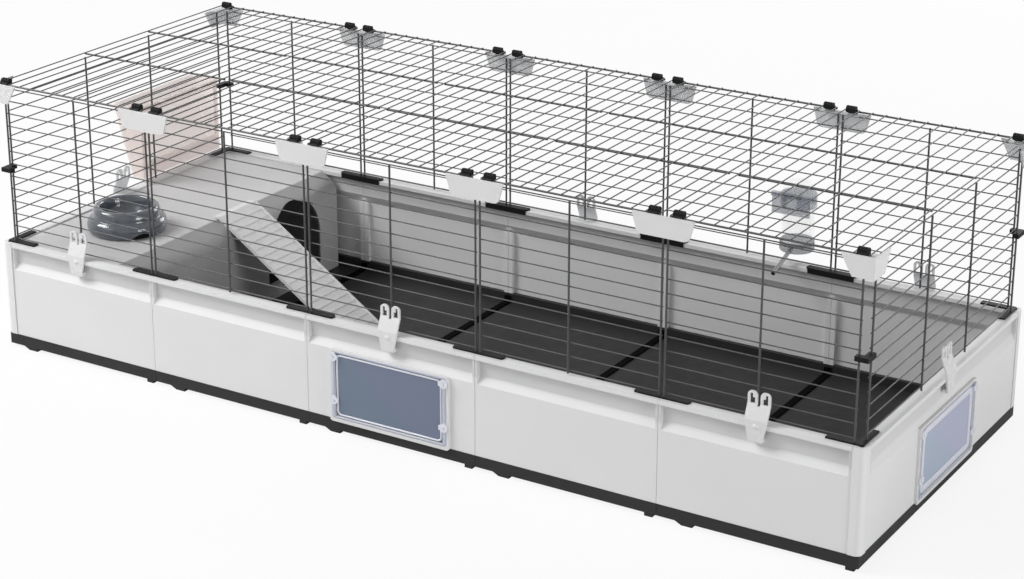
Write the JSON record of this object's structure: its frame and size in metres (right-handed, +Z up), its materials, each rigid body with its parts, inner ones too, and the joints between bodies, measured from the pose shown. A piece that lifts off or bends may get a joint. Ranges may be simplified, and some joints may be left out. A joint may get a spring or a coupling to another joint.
{
  "type": "modular small animal cage",
  "caption": "Long wire cage for small animals on a white wall tray with a dark floor, hinged roof meshes, windows, latches, house with ramp, bowl, hay rack and bottle.",
  "frame": {"origin": "middle of the underside of the middle foot of the middle floor module, on the ground", "axes": "+X along the cage away from the house end, +Y from the front to the back, +Z up"},
  "size_m": [1.8397, 0.7568, 0.536],
  "materials": {
    "floor_dark": "fine grained, matt",
    "wall_white": "smooth, satin",
    "trim_black": "smooth, satin",
    "wire_black": "coated wire, satin",
    "clip_white": "smooth, glossy",
    "clip_grey": "milky, half clear",
    "pane_blue": "smoked, half clear",
    "house_grey": "fine grained, satin",
    "bowl_slate": "glossy",
    "rack_beige": "half clear",
    "bottle_clear": "clear",
    "bracket_grey": "satin",
    "spout_steel": "polished tube"
  },
  "bodies": {
    "cage": {"floor_module_1": "floor_dark", "floor_module_2": "floor_dark", "floor_module_3": "floor_dark", "floor_module_4": "floor_dark", "floor_module_5": "floor_dark", "front_wall_1": "wall_white", "front_wall_2": "wall_white", "front_wall_3": "wall_white", "front_wall_4": "wall_white", "front_wall_5": "wall_white", "back_walls": "wall_white", "left_end_wall": "wall_white", "right_end_wall": "wall_white", "corner_posts": "wall_white", "floor_joint_strips": "trim_black", "rim_joint_bars": "trim_black", "rim_corner_brackets": "trim_black", "corner_ties": "trim_black", "front_mesh_1": "wire_black", "front_mesh_2": "wire_black", "front_mesh_3": "wire_black", "front_mesh_4": "wire_black", "front_mesh_5": "wire_black", "back_meshes": "wire_black", "left_end_mesh": "wire_black", "right_end_mesh": "wire_black", "front_top_clips": "clip_white", "front_window_frame": "clip_white", "right_window_frame": "clip_white", "back_top_clips": "clip_grey", "house": "house_grey", "bowl": "bowl_slate", "hay_rack": "rack_beige", "bottle": "bottle_clear", "bottle_bracket": "bracket_grey", "bottle_cap": "bracket_grey", "spout": "spout_steel"},
    "roof_1": {"roof_mesh_1": "wire_black", "roof_hooks_1": "trim_black"},
    "roof_2": {"roof_mesh_2": "wire_black", "roof_hooks_2": "trim_black"},
    "roof_3": {"roof_mesh_3": "wire_black", "roof_hooks_3": "trim_black"},
    "roof_4": {"roof_mesh_4": "wire_black", "roof_hooks_4": "trim_black"},
    "roof_5": {"roof_mesh_5": "wire_black", "roof_hooks_5": "trim_black"},
    "front_latch_1": {"front_latch_1": "clip_white"},
    "front_latch_3": {"front_latch_3": "clip_white"},
    "front_latch_5": {"front_latch_5": "clip_white"},
    "back_latch_1": {"back_latch_1": "clip_white"},
    "back_latch_3": {"back_latch_3": "clip_white"},
    "back_latch_5": {"back_latch_5": "clip_white"},
    "left_latch": {"left_latch": "clip_white"},
    "right_latch": {"right_latch": "clip_white"},
    "front_window_pane": {"front_window_pane": "pane_blue"},
    "right_window_pane": {"right_window_pane": "pane_blue"},
    "ramp": {"ramp": "house_grey"}
  },
  "joints": [
    {"name": "roof_1_hinge", "type": "hinge", "parent": "cage", "child": "roof_1", "pos_m": [-0.7, 0.336, 0.525], "axis": [-1, 0, 0], "range_deg": [0, 100]},
    {"name": "roof_2_hinge", "type": "hinge", "parent": "cage", "child": "roof_2", "pos_m": [-0.35, 0.336, 0.525], "axis": [-1, 0, 0], "range_deg": [0, 100]},
    {"name": "roof_3_hinge", "type": "hinge", "parent": "cage", "child": "roof_3", "pos_m": [0, 0.336, 0.525], "axis": [-1, 0, 0], "range_deg": [0, 100]},
    {"name": "roof_4_hinge", "type": "hinge", "parent": "cage", "child": "roof_4", "pos_m": [0.35, 0.336, 0.525], "axis": [-1, 0, 0], "range_deg": [0, 100]},
    {"name": "roof_5_hinge", "type": "hinge", "parent": "cage", "child": "roof_5", "pos_m": [0.7, 0.336, 0.525], "axis": [-1, 0, 0], "range_deg": [0, 100]},
    {"name": "front_latch_1_swing", "type": "hinge", "parent": "cage", "child": "front_latch_1", "pos_m": [-0.7, -0.3478, 0.186], "axis": [1, 0, 0], "range_deg": [0, 40]},
    {"name": "front_latch_3_swing", "type": "hinge", "parent": "cage", "child": "front_latch_3", "pos_m": [0, -0.3478, 0.186], "axis": [1, 0, 0], "range_deg": [0, 40]},
    {"name": "front_latch_5_swing", "type": "hinge", "parent": "cage", "child": "front_latch_5", "pos_m": [0.7, -0.3478, 0.186], "axis": [1, 0, 0], "range_deg": [0, 40]},
    {"name": "back_latch_1_swing", "type": "hinge", "parent": "cage", "child": "back_latch_1", "pos_m": [-0.7, 0.3478, 0.186], "axis": [-1, 0, 0], "range_deg": [0, 40]},
    {"name": "back_latch_3_swing", "type": "hinge", "parent": "cage", "child": "back_latch_3", "pos_m": [0, 0.3478, 0.186], "axis": [-1, 0, 0], "range_deg": [0, 40]},
    {"name": "back_latch_5_swing", "type": "hinge", "parent": "cage", "child": "back_latch_5", "pos_m": [0.7, 0.3478, 0.186], "axis": [-1, 0, 0], "range_deg": [0, 40]},
    {"name": "left_latch_swing", "type": "hinge", "parent": "cage", "child": "left_latch", "pos_m": [-0.8878, 0, 0.186], "axis": [0, -1, 0], "range_deg": [0, 40]},
    {"name": "right_latch_swing", "type": "hinge", "parent": "cage", "child": "right_latch", "pos_m": [0.8878, 0, 0.186], "axis": [0, 1, 0], "range_deg": [0, 40]},
    {"name": "front_window_pull", "type": "slide", "parent": "cage", "child": "front_window_pane", "axis": [0, -1, 0], "range_m": [0, 0.06]},
    {"name": "right_window_pull", "type": "slide", "parent": "cage", "child": "right_window_pane", "axis": [1, 0, 0], "range_m": [0, 0.06]},
    {"name": "ramp_swing", "type": "hinge", "parent": "cage", "child": "ramp", "pos_m": [-0.6298, 0.0311, 0.2113], "axis": [0, -1, 0], "range_deg": [0, 50]}
  ]
}
